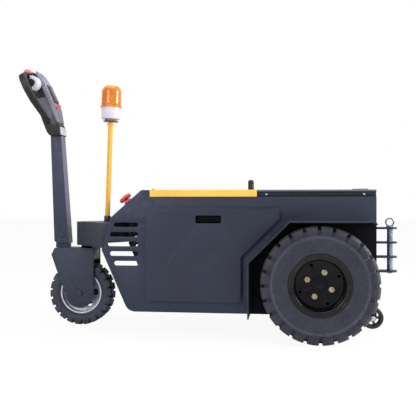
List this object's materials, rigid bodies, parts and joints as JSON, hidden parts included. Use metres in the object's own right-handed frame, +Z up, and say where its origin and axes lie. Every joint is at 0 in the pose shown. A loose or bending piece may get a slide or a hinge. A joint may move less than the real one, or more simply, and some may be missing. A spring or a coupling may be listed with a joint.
{
  "type": "walk behind electric tug",
  "caption": "Walk behind electric tug: pneumatic-shaped solid drive tyres, steered front wheel with tilting tiller, pin hitch, battery box, beacon and emergency stop.",
  "frame": {"origin": "on the ground, below the middle of the bounding box", "axes": "+X towards the tow hitch, +Y towards the tug's right side as its nose points along -X, +Z up"},
  "size_m": [1.6647, 0.74, 1.1598],
  "materials": {
    "coat": "fine textured powder coat",
    "yellow_paint": "satin paint",
    "rim_paint": "gloss black paint",
    "zinc": "zinc plated",
    "casting": "raw casting",
    "tyre_rubber": "solid rubber",
    "soft_rubber": "moulded",
    "black_plastic": "fine grained",
    "grey_plastic": "satin",
    "silver_plastic": "satin silver",
    "white_plastic": "smooth",
    "amber_lens": "moulded lens",
    "lamp": "lamp",
    "red_plastic": "smooth",
    "display": "glossy window",
    "motor_paint": "satin black",
    "rim_alloy": "cast"
  },
  "bodies": {
    "chassis": {"side_plate_left": "coat", "side_plate_right": "coat", "floor_pan": "coat", "rear_plate": "coat", "slope_panel": "coat", "nose_shell": "coat", "fender_left": "coat", "fender_right": "coat", "lid_hinge": "zinc", "rear_deck": "coat", "deck_pad": "zinc", "deck_screws": "zinc", "batteries": "black_plastic", "motor_controller": "rim_alloy", "transaxle": "casting", "drive_motor": "motor_paint", "hitch_bracket": "coat", "hitch_bolts": "zinc", "roller_bracket": "coat", "roller_axle": "zinc", "mast_socket": "black_plastic", "mast": "yellow_paint", "beacon_base": "white_plastic", "beacon_dome": "amber_lens", "beacon_lamp": "lamp", "stop_base": "black_plastic", "steering_bearings": "zinc"},
    "lid": {"battery_lid": "yellow_paint", "lid_knob": "black_plastic"},
    "door_left": {"door_left": "coat"},
    "door_right": {"door_right": "coat"},
    "stop_button": {"stop_button": "red_plastic"},
    "tow_pin": {"tow_pin": "zinc"},
    "roller": {"roller_hub": "grey_plastic", "roller_tyre": "soft_rubber"},
    "rear_wheel_left": {"axle_shaft_left": "zinc", "rear_rim_left": "rim_paint", "rear_tyre_left": "tyre_rubber", "wheel_nuts_left": "zinc"},
    "rear_wheel_right": {"axle_shaft_right": "zinc", "rear_rim_right": "rim_paint", "rear_tyre_right": "tyre_rubber", "wheel_nuts_right": "zinc"},
    "steering": {"kingpin": "zinc", "fork": "coat", "front_axle": "zinc", "tilt_pin": "zinc"},
    "front_wheel": {"front_bearings": "zinc", "front_rim": "rim_alloy", "front_tyre": "tyre_rubber"},
    "tiller": {"tiller_arm": "coat", "tiller_head": "black_plastic", "console_cover": "grey_plastic", "grip_guard": "soft_rubber", "display_panel": "display"},
    "throttle": {"throttle": "silver_plastic"},
    "belly_button": {"belly_button": "red_plastic"},
    "horn_button": {"horn_button": "grey_plastic"},
    "key": {"key_switch": "red_plastic"}
  },
  "joints": [
    {"name": "steering_turn", "type": "hinge", "parent": "chassis", "child": "steering", "pos_m": [-0.54061, 0, 0.346], "axis": [0, 0, 1], "range_deg": [-60, 60]},
    {"name": "tiller_tilt", "type": "hinge", "parent": "steering", "child": "tiller", "pos_m": [-0.65061, 0, 0.402], "axis": [0, -1, 0], "range_deg": [0, 70], "stiffness_Nm_per_rad": 40, "springref_deg": -20.05},
    {"name": "front_wheel_spin", "type": "hinge", "parent": "steering", "child": "front_wheel", "pos_m": [-0.55861, 0, 0.144], "axis": [0, 1, 0], "continuous": true},
    {"name": "rear_wheel_left_spin", "type": "hinge", "parent": "chassis", "child": "rear_wheel_left", "pos_m": [0.48939, -0.306, 0.23], "axis": [0, 1, 0], "continuous": true},
    {"name": "rear_wheel_right_spin", "type": "hinge", "parent": "chassis", "child": "rear_wheel_right", "pos_m": [0.48939, 0.306, 0.23], "axis": [0, 1, 0], "continuous": true},
    {"name": "roller_spin", "type": "hinge", "parent": "chassis", "child": "roller", "pos_m": [0.72739, 0, 0.0535], "axis": [0, 1, 0], "continuous": true},
    {"name": "tow_pin_lift", "type": "slide", "parent": "chassis", "child": "tow_pin", "axis": [0, 0, 1], "range_m": [0, 0.215]},
    {"name": "lid_open", "type": "hinge", "parent": "chassis", "child": "lid", "pos_m": [-0.20061, 0, 0.6055], "axis": [0, -1, 0], "range_deg": [0, 80]},
    {"name": "door_left_pull", "type": "slide", "parent": "chassis", "child": "door_left", "axis": [0, -1, 0], "range_m": [0, 0.15]},
    {"name": "door_right_pull", "type": "slide", "parent": "chassis", "child": "door_right", "axis": [0, 1, 0], "range_m": [0, 0.15]},
    {"name": "stop_press", "type": "slide", "parent": "chassis", "child": "stop_button", "axis": [0.6597, 0, -0.7515], "range_m": [0, 0.005], "stiffness_N_per_m": 800, "springref_m": -0.003},
    {"name": "belly_press", "type": "slide", "parent": "tiller", "child": "belly_button", "axis": [0.4067, 0, -0.9135], "range_m": [0, 0.007], "stiffness_N_per_m": 800, "springref_m": -0.004},
    {"name": "throttle_turn", "type": "hinge", "parent": "tiller", "child": "throttle", "pos_m": [-0.77078, 0, 1.08439], "axis": [0, 1, 0], "range_deg": [-30, 30], "stiffness_Nm_per_rad": 0.5},
    {"name": "horn_press", "type": "slide", "parent": "tiller", "child": "horn_button", "axis": [-0.8246, 0, -0.5658], "range_m": [0, 0.003], "stiffness_N_per_m": 400, "springref_m": -0.002},
    {"name": "key_turn", "type": "hinge", "parent": "tiller", "child": "key", "pos_m": [-0.67526, -0.0252, 0.9805], "axis": [0.9135, 0, 0.4067], "range_deg": [0, 90]}
  ]
}
